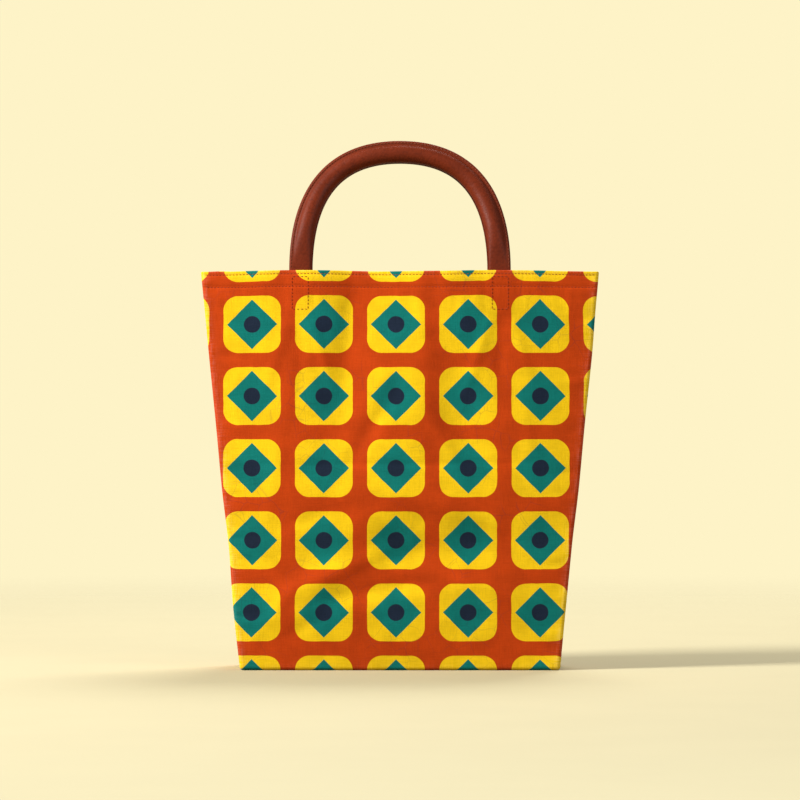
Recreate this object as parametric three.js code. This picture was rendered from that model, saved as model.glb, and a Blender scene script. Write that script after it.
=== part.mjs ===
// A tapered tote bag of printed cotton that stands by itself: a front and a back panel, two side gussets
// that fold inwards towards the mouth, a flat base, and two upright padded leather handles.
// Millimetres, +Z up. The origin is the middle of the base on the floor, and the front faces -Y.
import * as THREE from "three";
import { mergeVertices } from "three/addons/utils/BufferGeometryUtils.js";

const { lerp, smoothstep, degToRad } = THREE.MathUtils;

// Body
const MOUTH_WIDTH = 400;
const BASE_WIDTH = 320;
const BODY_HEIGHT = 400;
const BASE_DEPTH = 100; // also the width that the gussets are cut to
const MOUTH_DEPTH = 76; // between the panels at the ends of the mouth
const MOUTH_BOW = 10; // how far the middle of the mouth stands out past its ends
const BELLY = 5; // how far a panel swells above the base
const BELLY_LOW = 0.7; // below 1 puts the belly in the lower half
const EDGE_RADIUS = 4; // outer radius of a panel's turned edges
const CREASE_SOFTNESS = 0.12; // roundness of the gusset's inward fold, as a share of its flank

// Cloth
const CLOTH = 1.6;
const HEM_CLOTH = 3.2; // the hem is turned to the inside
const HEM_HEIGHT = 18;
const HEM_STEP = 0.4; // height over which the hem's inner layer ends
const SEAM_GAP = 0.3;

// Handles
const HANDLE_SPREAD = 200; // between the middles of the two tabs
const HANDLE_RISE = 120; // from the mouth to the middle of the strap at the top
const HANDLE_ARM = 72; // length of the arch's control arms, at the mouth and at the top
const HANDLE_WIDTH = 22;
const TAB_THICKNESS = 4;
const GRIP_THICKNESS = 16;
const GRIP_CORE = 18; // width of the filled part; the rest is the stitched edge on the inside of the arch
const TAB_LENGTH = 42; // below the mouth's edge
const TAB_BEND_LOW = 10; // below the hem's edge, where a tab begins to bend over it
const TAB_BEND_HIGH = 1; // below the hem's edge, where it lies as far in as the hem
const STRIP_SQUARENESS = 8; // exponent of a tab's outline; 2 is an ellipse
const TOP_OFFSET = 11; // from the bag's middle plane to the middle of the strap at the top
const FILL_START = 2; // above the mouth, where the strap begins to round out
const FILL_END = 48;

// Soft folds of a panel: middle, direction from the X axis, reach along and across it, and height outwards.
const FOLDS = [
  { x: -112, z: 62, angle: 40, along: 90, across: 20, height: 4.6 },
  { x: 116, z: 70, angle: -44, along: 84, across: 20, height: 4.0 },
  { x: 14, z: 118, angle: 5, along: 120, across: 24, height: -5.5 },
  { x: -6, z: 176, angle: -3, along: 130, across: 26, height: 2.6 },
  { x: -56, z: 288, angle: 80, along: 84, across: 24, height: -4.6 },
  { x: 62, z: 262, angle: 102, along: 92, across: 24, height: -4.0 },
  { x: -24, z: 396, angle: 88, along: 95, across: 40, height: -4.5 },
  { x: 56, z: 400, angle: 97, along: 80, across: 30, height: 3.0 },
];
const FOLD_FADE = 60; // height over which the folds die out at the base

// Mesh density
const TURN_STEPS = 3; // along a panel's turned edge
const PANEL_COLUMNS = 26;
const PANEL_ROWS = 20;
const GUSSET_COLUMNS = 10;
const HANDLE_STEPS = 40;
const STRAP_STEPS = 8; // across one face of the strap

const HEM_START = BODY_HEIGHT - HEM_HEIGHT;

// Half the bag's width at a height: the sides are straight lines.
function halfWidth(z) {
  return lerp(BASE_WIDTH, MOUTH_WIDTH, z / BODY_HEIGHT) / 2;
}

// Half the depth between the panels at their side edges: upright at the base, closing towards the mouth.
function halfDepth(z) {
  const rise = (z - EDGE_RADIUS) / (BODY_HEIGHT - EDGE_RADIUS);
  return (BASE_DEPTH - (BASE_DEPTH - MOUTH_DEPTH) * rise ** 2) / 2;
}

// How far the middle of a panel stands out past its side edges at a height.
function bow(z) {
  const share = z / BODY_HEIGHT;
  return MOUTH_BOW * share + BELLY * Math.sin(Math.PI * share ** BELLY_LOW);
}

// Sum of the soft folds: each is a bell-shaped ridge or dent, longer than it is wide.
function folds(x, z) {
  return FOLDS.reduce((sum, fold) => {
    const turn = degToRad(fold.angle);
    const along = (x - fold.x) * Math.cos(turn) + (z - fold.z) * Math.sin(turn);
    const across = (z - fold.z) * Math.cos(turn) - (x - fold.x) * Math.sin(turn);
    return sum + fold.height * Math.exp(-((along / fold.along) ** 2) - (across / fold.across) ** 2);
  }, 0);
}

// Distance of a panel's outer face from the bag's middle plane. It is straight along the sewn edges.
function panelFace(x, z) {
  const inside = Math.max(0, 1 - (x / (halfWidth(z) - EDGE_RADIUS)) ** 2);
  return halfDepth(z) + inside * (bow(z) + smoothstep(z, 0, FOLD_FADE) * folds(x, z));
}

// Heights of a wall's rows from the turned base edge to the mouth, with a close pair where the hem begins.
function wallRows() {
  const rows = [];
  for (let i = 0; i < TURN_STEPS; i++) {
    rows.push({ z: EDGE_RADIUS, turn: (Math.PI / 2) * (1 - i / TURN_STEPS), cloth: CLOTH });
  }
  for (let i = 0; i <= PANEL_ROWS; i++) {
    const z = lerp(EDGE_RADIUS, HEM_START - HEM_STEP, i / PANEL_ROWS);
    rows.push({ z, turn: 0, cloth: CLOTH });
  }
  for (const z of [HEM_START, BODY_HEIGHT]) rows.push({ z, turn: 0, cloth: HEM_CLOTH });
  return rows;
}

// A closed solid between two grids of points of the same size, listed row by row. Seen from outside,
// columns run to the right and rows run up. Triangles that collapse at a corner's pole are dropped.
function wallBetween(outer, inner) {
  const rows = outer.length;
  const columns = outer[0].length;
  const at = (row, column, side) => (side * rows + row) * columns + column;
  const triangles = [];
  const quad = (a, b, c, d) => triangles.push([a, b, c], [a, c, d]);
  for (let row = 0; row < rows - 1; row++) {
    for (let column = 0; column < columns - 1; column++) {
      quad(at(row, column, 0), at(row, column + 1, 0), at(row + 1, column + 1, 0), at(row + 1, column, 0));
      quad(at(row, column, 1), at(row + 1, column, 1), at(row + 1, column + 1, 1), at(row, column + 1, 1));
    }
  }
  const rim = (a, b) => quad(at(...a, 1), at(...b, 1), at(...b, 0), at(...a, 0));
  for (let column = 0; column < columns - 1; column++) {
    rim([0, column], [0, column + 1]);
    rim([rows - 1, column + 1], [rows - 1, column]);
  }
  for (let row = 0; row < rows - 1; row++) {
    rim([row + 1, 0], [row, 0]);
    rim([row, columns - 1], [row + 1, columns - 1]);
  }
  return closedGeometry([...outer.flat(), ...inner.flat()], triangles);
}

// Geometry from points and triangles, with equal points merged and collapsed triangles left out.
function closedGeometry(points, triangles) {
  const equalWithin = 1e-3;
  const loose = new THREE.BufferGeometry().setFromPoints(points).setIndex(triangles.flat());
  const merged = mergeVertices(loose, equalWithin);
  const index = merged.index.array;
  const kept = [];
  for (let i = 0; i < index.length; i += 3) {
    const [a, b, c] = index.slice(i, i + 3);
    if (a !== b && b !== c && c !== a) kept.push(a, b, c);
  }
  merged.setIndex(kept);
  merged.computeVertexNormals();
  return merged;
}

// The front panel: a bowed face whose side and base edges turn back by a quarter circle to the seams.
function panelGeometry() {
  const columns = [];
  const turnStep = Math.PI / 2 / TURN_STEPS;
  for (let i = TURN_STEPS; i > 0; i--) columns.push({ share: -1, turn: -i * turnStep });
  for (let i = 0; i <= PANEL_COLUMNS; i++) columns.push({ share: (2 * i) / PANEL_COLUMNS - 1, turn: 0 });
  for (let i = 1; i <= TURN_STEPS; i++) columns.push({ share: 1, turn: i * turnStep });
  const grid = (inset) =>
    wallRows().map((row) =>
      columns.map((column) => {
        const x = column.share * (halfWidth(row.z) - EDGE_RADIUS);
        const radius = EDGE_RADIUS - inset(row);
        const forward = Math.cos(column.turn) * radius;
        return new THREE.Vector3(
          x + Math.sin(column.turn) * radius,
          EDGE_RADIUS - panelFace(x, row.z) - forward * Math.cos(row.turn),
          row.z - forward * Math.sin(row.turn),
        );
      }),
    );
  return wallBetween(
    grid(() => 0),
    grid((row) => row.cloth),
  );
}

// Depth of the gusset's inward fold at a height: the strip keeps the width that it was cut to.
function foldDepth(z) {
  return Math.sqrt((BASE_DEPTH / 2) ** 2 - halfDepth(z) ** 2);
}

// Place of the right gusset's outer face along X: two flanks that meet in a rounded crease.
function gussetFace(y, z) {
  const reach = halfDepth(z) - EDGE_RADIUS;
  const rounded = (share) => Math.hypot(share, CREASE_SOFTNESS) - CREASE_SOFTNESS;
  return halfWidth(z) - foldDepth(z) * (1 - rounded(y / reach) / rounded(1));
}

// The right gusset: it runs between the panels' turned edges and curves under to meet the base.
function gussetGeometry() {
  const slopeStep = 0.5;
  const grid = (inset) =>
    wallRows().map((row) => {
      const reach = halfDepth(row.z) - EDGE_RADIUS - SEAM_GAP;
      return Array.from({ length: GUSSET_COLUMNS + 1 }, (_, i) => {
        const y = lerp(-reach, reach, i / GUSSET_COLUMNS);
        const slope = (gussetFace(y + slopeStep, row.z) - gussetFace(y - slopeStep, row.z)) / (2 * slopeStep);
        const wall = inset(row) * Math.hypot(1, slope * Math.cos(row.turn));
        const radius = EDGE_RADIUS - wall;
        return new THREE.Vector3(
          gussetFace(y, row.z) - EDGE_RADIUS + radius * Math.cos(row.turn),
          y,
          row.z - radius * Math.sin(row.turn),
        );
      });
    });
  return wallBetween(
    grid(() => 0),
    grid((row) => row.cloth),
  );
}

// The base: a flat piece of cloth inside the turned edges of the panels and gussets.
function baseGeometry() {
  const length = 2 * (halfWidth(EDGE_RADIUS) - EDGE_RADIUS - SEAM_GAP);
  const depth = 2 * (halfDepth(EDGE_RADIUS) - EDGE_RADIUS - SEAM_GAP);
  return new THREE.BoxGeometry(length, depth, CLOTH).translate(0, 0, CLOTH / 2);
}

// Distance of the strap's middle from the bag's middle plane: flat against the hem and the cloth below it
// inside the bag, then leaning in towards the other handle. Each tab follows the panel on its own side.
function strapDepth(x, z) {
  const root = Math.min(z, BODY_HEIGHT);
  const onHem = smoothstep(root, HEM_START - TAB_BEND_LOW, HEM_START - TAB_BEND_HIGH);
  const behind = lerp(CLOTH, HEM_CLOTH, onHem);
  const seat = panelFace((Math.sign(x) * HANDLE_SPREAD) / 2, root) - behind - SEAM_GAP - TAB_THICKNESS / 2;
  return lerp(seat, TOP_OFFSET, smoothstep(z, BODY_HEIGHT, BODY_HEIGHT + HANDLE_RISE));
}

// The strap's middle line as seen from the front: a straight tab, the two halves of the arch, and a tab.
function strapLine() {
  const half = HANDLE_SPREAD / 2;
  const top = BODY_HEIGHT + HANDLE_RISE;
  const tabEnd = BODY_HEIGHT - TAB_LENGTH;
  const point = (x, z) => new THREE.Vector2(x, z);
  const line = new THREE.CurvePath();
  line.add(new THREE.LineCurve(point(-half, tabEnd), point(-half, BODY_HEIGHT)));
  line.add(
    new THREE.CubicBezierCurve(
      point(-half, BODY_HEIGHT),
      point(-half, BODY_HEIGHT + HANDLE_ARM),
      point(-HANDLE_ARM, top),
      point(0, top),
    ),
  );
  line.add(
    new THREE.CubicBezierCurve(
      point(0, top),
      point(HANDLE_ARM, top),
      point(half, BODY_HEIGHT + HANDLE_ARM),
      point(half, BODY_HEIGHT),
    ),
  );
  line.add(new THREE.LineCurve(point(half, BODY_HEIGHT), point(half, tabEnd)));
  return line.getSpacedPoints(HANDLE_STEPS).map(({ x, y: z }) => new THREE.Vector3(x, -strapDepth(x, z), z));
}

// Half the strap's thickness across its width, from the inside of the arch to the outside: a flat strip with
// rounded edges, filled out to an oval beside the stitched edge.
function halfThickness(across, filled) {
  const half = HANDLE_WIDTH / 2;
  const core = GRIP_CORE / 2;
  const strip = (TAB_THICKNESS / 2) * Math.sqrt(Math.max(0, 1 - (across / half) ** STRIP_SQUARENESS));
  const oval = (GRIP_THICKNESS / 2) * Math.sqrt(Math.max(0, 1 - ((across - half + core) / core) ** 2));
  return lerp(strip, Math.max(strip, oval), filled);
}

// Slope of the panel behind a tab, across the bag. The side is -1 for the left tab and 1 for the right one.
function tabSlope(side) {
  const x = (side * HANDLE_SPREAD) / 2;
  const step = 1;
  return (panelFace(x + step, BODY_HEIGHT) - panelFace(x - step, BODY_HEIGHT)) / (2 * step);
}

// The front handle: the strap's outline carried along its middle line. A tab lies along the panel behind it.
function handleGeometry() {
  const line = strapLine();
  const half = HANDLE_WIDTH / 2;
  const rings = line.map((place, i) => {
    const before = line[Math.max(0, i - 1)];
    const after = line[Math.min(line.length - 1, i + 1)];
    const along = after.clone().sub(before).normalize();
    const filled = smoothstep(place.z, BODY_HEIGHT + FILL_START, BODY_HEIGHT + FILL_END);
    const lean = (1 - filled) * tabSlope(Math.sign(place.x));
    const front = new THREE.Vector3(-lean, -1, 0);
    front.addScaledVector(along, -front.dot(along)).normalize();
    const outward = along.clone().cross(front).normalize();
    const ring = [];
    for (let side = 0; side < 2; side++) {
      for (let k = 0; k < STRAP_STEPS; k++) {
        const across = -half * Math.cos((Math.PI * k) / STRAP_STEPS) * (side ? -1 : 1);
        const thick = halfThickness(across, filled) * (side ? -1 : 1);
        ring.push(place.clone().addScaledVector(outward, across).addScaledVector(front, thick));
      }
    }
    return ring;
  });
  return tubeThrough(rings);
}

// A closed solid through rings of points, with flat ends.
function tubeThrough(rings) {
  const size = rings[0].length;
  const last = (rings.length - 1) * size;
  const triangles = [];
  for (let ring = 0; ring < rings.length - 1; ring++) {
    for (let k = 0; k < size; k++) {
      const next = (k + 1) % size;
      const [a, b] = [ring * size + k, ring * size + next];
      triangles.push([a, b, b + size], [a, b + size, a + size]);
    }
  }
  for (let k = 1; k < size - 1; k++) {
    triangles.push([0, k + 1, k], [last, last + k, last + k + 1]);
  }
  return closedGeometry(rings.flat(), triangles);
}

const waxPrint = new THREE.MeshStandardMaterial({ color: 0xc2410c, roughness: 0.85, metalness: 0 });
const leather = new THREE.MeshStandardMaterial({ color: 0x7c2d12, roughness: 0.5, metalness: 0 });

function piece(name, geometry, material) {
  const mesh = new THREE.Mesh(geometry, material);
  mesh.name = name;
  return mesh;
}

// Half of the bag: a panel, the gusset on its right and a handle. The other half is the same, turned round.
function bagHalf(panelName, gussetName, handleName) {
  const half = new THREE.Group();
  half.add(piece(panelName, panelGeometry(), waxPrint));
  half.add(piece(gussetName, gussetGeometry(), waxPrint));
  half.add(piece(handleName, handleGeometry(), leather));
  return half;
}

const bag = new THREE.Group();
bag.add(bagHalf("front_panel", "right_gusset", "front_handle"));
const backHalf = bagHalf("back_panel", "left_gusset", "back_handle");
backHalf.rotation.z = Math.PI;
bag.add(backHalf);
bag.add(piece("base_panel", baseGeometry(), waxPrint));

export default bag;
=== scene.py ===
"""A standing tote bag of printed cotton with padded leather handles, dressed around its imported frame."""

from collections import namedtuple
from functools import partial

import bpy
import numpy as np
from bpy.props import FloatProperty, FloatVectorProperty, PointerProperty
from bpy.types import NodeSocket, Operator, Panel, PropertyGroup
from mathutils import Color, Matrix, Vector


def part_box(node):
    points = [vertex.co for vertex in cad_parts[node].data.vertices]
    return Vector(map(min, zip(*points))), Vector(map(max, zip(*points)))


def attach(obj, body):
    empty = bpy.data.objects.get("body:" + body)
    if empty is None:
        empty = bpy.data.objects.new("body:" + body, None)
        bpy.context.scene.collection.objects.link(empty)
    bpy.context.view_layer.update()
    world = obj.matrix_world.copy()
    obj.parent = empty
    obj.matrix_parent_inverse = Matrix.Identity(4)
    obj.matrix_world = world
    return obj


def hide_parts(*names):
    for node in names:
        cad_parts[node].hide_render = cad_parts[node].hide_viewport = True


bl_info = {
    "name": "Printed cotton tote bag",
    "version": (1, 0, 0),
    "blender": (4, 5, 0),
    "location": "3D View > Sidebar > Tote bag",
    "description": "Sews a standing tote bag of printed cotton with padded leather handles",
    "category": "Add Mesh",
}

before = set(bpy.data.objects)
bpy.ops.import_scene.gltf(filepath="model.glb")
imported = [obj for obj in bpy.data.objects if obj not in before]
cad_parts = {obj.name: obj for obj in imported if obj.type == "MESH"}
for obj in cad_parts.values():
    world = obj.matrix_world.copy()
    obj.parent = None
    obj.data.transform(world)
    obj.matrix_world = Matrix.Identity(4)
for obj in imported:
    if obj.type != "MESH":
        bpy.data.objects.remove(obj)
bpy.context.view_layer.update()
PANEL_LOW, PANEL_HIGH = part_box("front_panel")
HANDLE_LOW, HANDLE_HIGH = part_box("front_handle")
BODY = "root"
COTTON = "wax_print_cotton"
MM = 0.001

# Calculation
NOISE_CELLS = 64
SLOPE_STEP = 0.5 * MM
LEAST_LENGTH = 1e-12

# Half of the bag: its panel and its gusset, the seeds of their uneven lie, and its way: 1, or -1 for the
# half that is turned round and whose fine creases are mirrored.
Half = namedtuple("Half", "panel gusset panel_seed gusset_seed way")
HALVES = (
    Half("front", "right", panel_seed=0, gusset_seed=40, way=1),
    Half("back", "left", panel_seed=10, gusset_seed=50, way=-1),
)
HEM_SEED = 31
BASE_SEED = 60
STRAP_SEED = 71
SIDE_SEED = 81
MOUTH_SEED = 82

# A ridge or a dent of a panel, in millimetres and degrees: its middle, its direction from the X axis, its
# reach along and across that direction, and its height outwards.
Fold = namedtuple("Fold", "x z angle along across height")

# Main folds
FOLDS = (
    Fold(-112, 62, 40, 90, 20, 4.6),
    Fold(116, 70, -44, 84, 20, 4.0),
    Fold(14, 118, 5, 120, 24, -5.5),
    Fold(-6, 176, -3, 130, 26, 2.6),
    Fold(-56, 288, 80, 84, 24, -4.6),
    Fold(62, 262, 102, 92, 24, -4.0),
    Fold(-24, 396, 88, 95, 40, -4.5),
    Fold(56, 400, 97, 80, 30, 3.0),
)

# Finer creases: drag lines below the handle tabs, pinched cloth at the base corners, wrinkles where the
# cloth slumps, and the line along which the bag is folded to lie flat.
CREASES = (
    Fold(-121, 322, 72, 46, 6.0, 1.4),
    Fold(-100, 314, 90, 56, 6.5, -1.2),
    Fold(-80, 322, 108, 46, 6.0, 1.4),
    Fold(80, 322, 72, 46, 6.0, 1.4),
    Fold(100, 314, 90, 56, 6.5, -1.2),
    Fold(121, 322, 108, 46, 6.0, 1.4),
    Fold(-136, 44, 52, 46, 7.0, 2.0),
    Fold(-114, 34, 28, 42, 7.0, -1.7),
    Fold(137, 46, -50, 46, 7.0, 2.0),
    Fold(112, 35, -26, 42, 7.0, -1.7),
    Fold(-66, 98, 22, 78, 9.0, 2.2),
    Fold(-22, 80, 10, 86, 9.0, -2.0),
    Fold(46, 92, -12, 70, 9.0, 1.6),
    Fold(78, 152, -20, 80, 9.0, 2.0),
    Fold(-96, 150, 16, 58, 8.0, -1.4),
    Fold(40, 236, -62, 64, 9.0, 1.6),
    Fold(-30, 240, 58, 68, 9.0, -1.6),
    Fold(-128, 190, 80, 76, 9.0, 1.7),
    Fold(132, 214, 97, 80, 9.0, 1.7),
    Fold(-52, 352, 86, 60, 10.0, -1.5),
    Fold(22, 350, 94, 64, 11.0, 1.5),
    Fold(0, 206, 0.5, 240, 3.0, -0.7),
)

# A soft noise's height and the width of its patches
Uneven = namedtuple("Uneven", "height cell")
PANEL_LIE = (Uneven(0.8 * MM, 46 * MM), Uneven(0.3 * MM, 17 * MM))
GUSSET_LIE = (Uneven(0.9 * MM, 34 * MM), Uneven(0.35 * MM, 14 * MM))
BASE_LIE = Uneven(0.5 * MM, 30 * MM)
SIDE_WAVER = Uneven(1.6 * MM, 62 * MM)
MOUTH_WAVE = Uneven(0.9 * MM, 54 * MM)
SEAM_PUCKER = Uneven(0.5 * MM, 7 * MM)
HEM_PUCKER = Uneven(0.25 * MM, 5.5 * MM)
STRAP_RIPPLE = Uneven(0.16 * MM, 6 * MM)

# Fine relief of the cloth
PUCKER_REACH = 8 * MM
MOUTH_DIP = 1.1 * MM
MOUTH_DIP_REACH = 110 * MM
MOUTH_WAVE_DEPTHWISE = 3.0
TAB_CALM = 14 * MM
TAB_PRESS = 0.4 * MM
TAB_PRESS_EDGE = 4.6 * MM
GUSSET_CALM = 20 * MM
BASE_CALM = 25 * MM
HEM_STEP = 0.6 * MM
HEM_SWELL = 0.35 * MM
HEM_SWELL_EDGE = 4 * MM
GROOVE_DEPTH = 0.4 * MM
GROOVE_WIDTH = 1.0 * MM
WEAR_REACH = 2.5 * MM

# Topstitching. A stitch's rings lie at shares of its half length, and two quads close each of its ends.
STITCH_PITCH = 3.4 * MM
STITCH_LENGTH = 2.7 * MM
STITCH_RINGS = (-1.0, -0.85, -0.4, 0.4, 0.85, 1.0)
THREAD_RADIUS = 0.3 * MM
THREAD_SIDES = 6
THREAD_END = np.array([(0, 1, 2, 3), (0, 3, 4, 5)])
THREAD_TAPER = 0.65
THREAD_RISE = 0.8
THREAD_DIP = 1.5
HEM_ROW_LOW = 1.8 * MM
HEM_ROW_HIGH = 3.6 * MM
HEM_ROW_END = 1 * MM
TAB_MARGIN = 3 * MM
STRAP_MARGIN = 2 * MM

# Strap
STRAP_WIDTH = 22 * MM
STRAP_RISE = HANDLE_HIGH.z - PANEL_HIGH.z - STRAP_WIDTH / 2
TAB_BEND_LOW = 10 * MM
TAB_BEND_HIGH = 1 * MM
TAB_END_SHARE = 0.5
TAB_END_REACH = 2 * MM
STRIP_SQUARENESS = 8

# Mesh density
TURN_STEPS = 7
PANEL_COLUMNS = 181
WALL_ROWS = 150
HEM_EDGE_ROWS = 9
HEM_EDGE_REACH = 1.2 * MM
HEM_STEPS = 13
GUSSET_COLUMNS = 73
BASE_COLUMNS = 120
BASE_ROWS = 36
RIM_STEPS = 5
STRAP_RINGS = 380
STRAP_POINTS = 56
SEAM_POINTS = 240
FLOOR_RINGS = 24
FLOOR_SIDES = 96
FLOOR_SPACING = 1.5


def linear(code):
    """A colour written as six hex digits, as the linear red, green, blue and alpha that shaders use."""
    tone = Color([channel / 255 for channel in bytes.fromhex(code)])
    return (*tone.from_srgb_to_scene_linear(), 1.0)


def shaded(tone, factor):
    """A colour made darker or lighter by a factor."""
    return (*(min(1.0, channel * factor) for channel in tone[:3]), 1.0)


def length(name, description, metres):
    """A property that holds a length."""
    return FloatProperty(name=name, description=description, default=metres, unit="LENGTH", precision=5)


def share(name, description, default):
    """A property that holds a share from 0 to 1."""
    return FloatProperty(
        name=name, description=description, default=default, min=0.0, max=1.0, subtype="FACTOR"
    )


def colour(name, description, code):
    """A property that holds a colour."""
    return FloatVectorProperty(
        name=name, description=description, default=linear(code), size=4, min=0.0, max=1.0, subtype="COLOR"
    )


class ToteBody(PropertyGroup):
    """Sizes of the bag's cloth body"""

    mouth_width: length("Mouth width", "Width of the mouth", PANEL_HIGH.x - PANEL_LOW.x)
    base_width: length("Base width", "Width of the body at the base", 320 * MM)
    height: length("Height", "Height of the mouth above the floor", PANEL_HIGH.z)
    base_depth: length("Base depth", "Depth of the base and cut width of the gussets", 100 * MM)
    mouth_depth: length("Mouth depth", "Depth between the panels at the ends of the mouth", 76 * MM)
    mouth_bow: length("Mouth bow", "How far the middle of the mouth stands out past its ends", 10 * MM)
    belly: length("Belly", "How far a panel swells above the base", 5 * MM)
    belly_low: share("Belly height", "Below 1 puts the belly in the lower half", 0.7)
    fold_fade: length("Fold fade", "Height over which the folds die out at the base", 60 * MM)
    edge_radius: length("Edge radius", "Outer radius of a panel's turned edges", 4 * MM)
    crease_softness: share("Crease softness", "Roundness of the gusset's inward fold", 0.12)
    cloth: length("Cloth", "Thickness of the backed cloth", 1.6 * MM)
    hem_cloth: length("Hem thickness", "Thickness of the hem, which is turned to the inside", 3.2 * MM)
    hem_height: length("Hem height", "Height of the hem", 18 * MM)
    seam_gap: length("Seam gap", "Gap between two panels at a seam", 0.3 * MM)


class TotePrint(PropertyGroup):
    """Sizes and colours of the wax print, its weave and its thread"""

    repeat: length("Repeat", "Distance between the middles of two motifs", 72 * MM)
    square: length("Square", "Width of the rounded square", 57.6 * MM)
    corner: length("Corner", "Corner radius of the rounded square", 14.4 * MM)
    diamond: length("Diamond", "Half the diagonal of the diamond", 25.2 * MM)
    disc: length("Disc", "Radius of the disc", 8.4 * MM)
    start_x: length("Start across", "A motif's middle across the front panel, from its middle line", -4 * MM)
    back_x: length("Start across the back", "A motif's middle across the back panel", 21 * MM)
    start_z: length("Start up", "The lowest whole motif's middle above the floor", 58 * MM)
    bleed: length("Bleed", "Half the width over which two colours run into each other", 0.35 * MM)
    wander: length("Wander", "How far the motifs' edges stray", 0.9 * MM)
    crackle: length("Crackle", "Width of the pieces that the wax cracks into", 17 * MM)
    weave: length("Weave", "Distance between two threads", 0.8 * MM)
    slub: length("Slub", "Width of an uneven thread", 0.9 * MM)
    ground: colour("Ground", "Rust ground of the print", "C2410C")
    square_tone: colour("Square colour", "Yellow of the rounded squares", "FACC15")
    diamond_tone: colour("Diamond colour", "Teal of the diamonds", "0F766E")
    disc_tone: colour("Disc colour", "Navy of the discs", "1E293B")
    thread: colour("Thread", "Sewing thread of the hem and tabs", "A83A10")


class ToteHandle(PropertyGroup):
    """Sizes and colours of the padded leather handles"""

    spread: length("Spread", "Distance between the middles of the two tabs", 200 * MM)
    width: length("Width", "Width of the strap", STRAP_WIDTH)
    rise: length("Rise", "Height of the strap's middle above the mouth at the top", STRAP_RISE)
    arm: length("Curve arm", "Length of the arch's control arms", 72 * MM)
    tab_length: length("Tab length", "Length of a tab below the mouth's edge", PANEL_HIGH.z - HANDLE_LOW.z)
    tab_thickness: length("Tab thickness", "Thickness of the flat tab and the stitched edge", 4 * MM)
    tab_corner: length("Tab corner", "Corner radius of a tab's end", 5 * MM)
    grip_thickness: length("Grip thickness", "Thickness of the filled part", 16 * MM)
    grip_core: length("Grip core", "Width of the filled part", 18 * MM)
    top_offset: length("Top offset", "Strap's middle from the bag's middle plane at the top", 11 * MM)
    fill_start: length("Fill start", "Height above the mouth where the strap rounds out", 2 * MM)
    fill_end: length("Fill end", "Height above the mouth where the strap is full", 48 * MM)
    fill: share("Fill", "How tightly the strap is filled", 0.8)
    grain: length("Grain", "Width of a pebble of the leather's grain", 2.2 * MM)
    pore: length("Pore", "Width of a pore", 0.9 * MM)
    tone: colour("Leather", "Brown of the leather", "7C2D12")
    thread: colour("Thread", "Thread along the stitched edge", "8F4526")


class ToteStage(PropertyGroup):
    """The floor, the light and the camera"""

    backdrop: colour("Backdrop", "Pale cream of the floor and the background", "FEF3C7")
    daylight: colour("Daylight", "Soft light from all around", "FFFCF6")
    daylight_strength: share("Daylight strength", "Strength of the light from all around", 0.2)
    floor_radius: length("Floor radius", "Radius of the floor", 2.6)
    floor_clear: share("Floor clear", "Share of the radius at which the floor begins to fade out", 0.25)
    floor_gone: share("Floor gone", "Share of the radius at which the floor has faded out", 0.95)
    floor_tone: share("Floor tone", "How light the floor is against the backdrop", 0.58)
    floor_bounce: share("Floor bounce", "How light the floor is to the light that it throws back", 0.2)
    field: length("Field", "Width that the picture covers at the front panel", 0.797)
    view_height: length("View height", "Height of the middle of the picture", 0.27)
    lens: FloatProperty(name="Lens", description="Focal length of the camera", default=200.0, unit="CAMERA")


def together(*parts):
    """Coordinates put together as points, each spread over the line or grid that they share."""
    return np.stack(np.broadcast_arrays(*parts), axis=-1)


def unit(vectors):
    """Vectors scaled to length 1."""
    return vectors / np.linalg.norm(vectors, axis=-1, keepdims=True).clip(LEAST_LENGTH)


def square_to(along, vectors):
    """Unit vectors of what is left of vectors without their part along given unit directions."""
    return unit(vectors - along * np.sum(vectors * along, axis=-1, keepdims=True))


def between(start, end, part):
    """The value at a part of the way from a start to an end."""
    return start + (end - start) * part


def smooth(value):
    """A smooth step: 0 below 0, 1 above 1, and 3v^2 - 2v^3 between."""
    part = np.clip(value, 0.0, 1.0)
    return part * part * (3.0 - 2.0 * part)


def slope(function, value):
    """Slope of a function of one value, as a central difference."""
    return (function(value + SLOPE_STEP) - function(value - SLOPE_STEP)) / (2 * SLOPE_STEP)


def around(count):
    """Angles spread evenly round a circle."""
    return np.linspace(0.0, 2 * np.pi, count, endpoint=False)


def walked_along(line):
    """How far each point of a line is along it."""
    return np.concatenate([[0.0], np.cumsum(np.linalg.norm(np.diff(line, axis=0), axis=1))])


def along_line(values, walked, where):
    """Values of a line's points at given distances along it."""
    return together(*(np.interp(where, walked, column) for column in values.T))


def soft_noise(uneven, u, v, seed):
    """Smooth noise: seeded heights on a square lattice, blended by a smooth step in each cell."""
    size = (NOISE_CELLS, NOISE_CELLS)
    heights = np.random.default_rng(seed).uniform(-uneven.height, uneven.height, size)
    u, v = np.broadcast_arrays(u / uneven.cell, v / uneven.cell)
    column, row = np.floor(u).astype(int), np.floor(v).astype(int)

    def corner(right, up):
        return heights[(column + right) % NOISE_CELLS, (row + up) % NOISE_CELLS]

    part = smooth(u - column)
    low = between(corner(0, 0), corner(1, 0), part)
    high = between(corner(0, 1), corner(1, 1), part)
    return between(low, high, smooth(v - row))


def uneven_lie(noises, u, v, seed):
    """Sum of soft noises, each with the next seed."""
    return sum(soft_noise(noise, u, v, seed + k) for k, noise in enumerate(noises))


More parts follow.
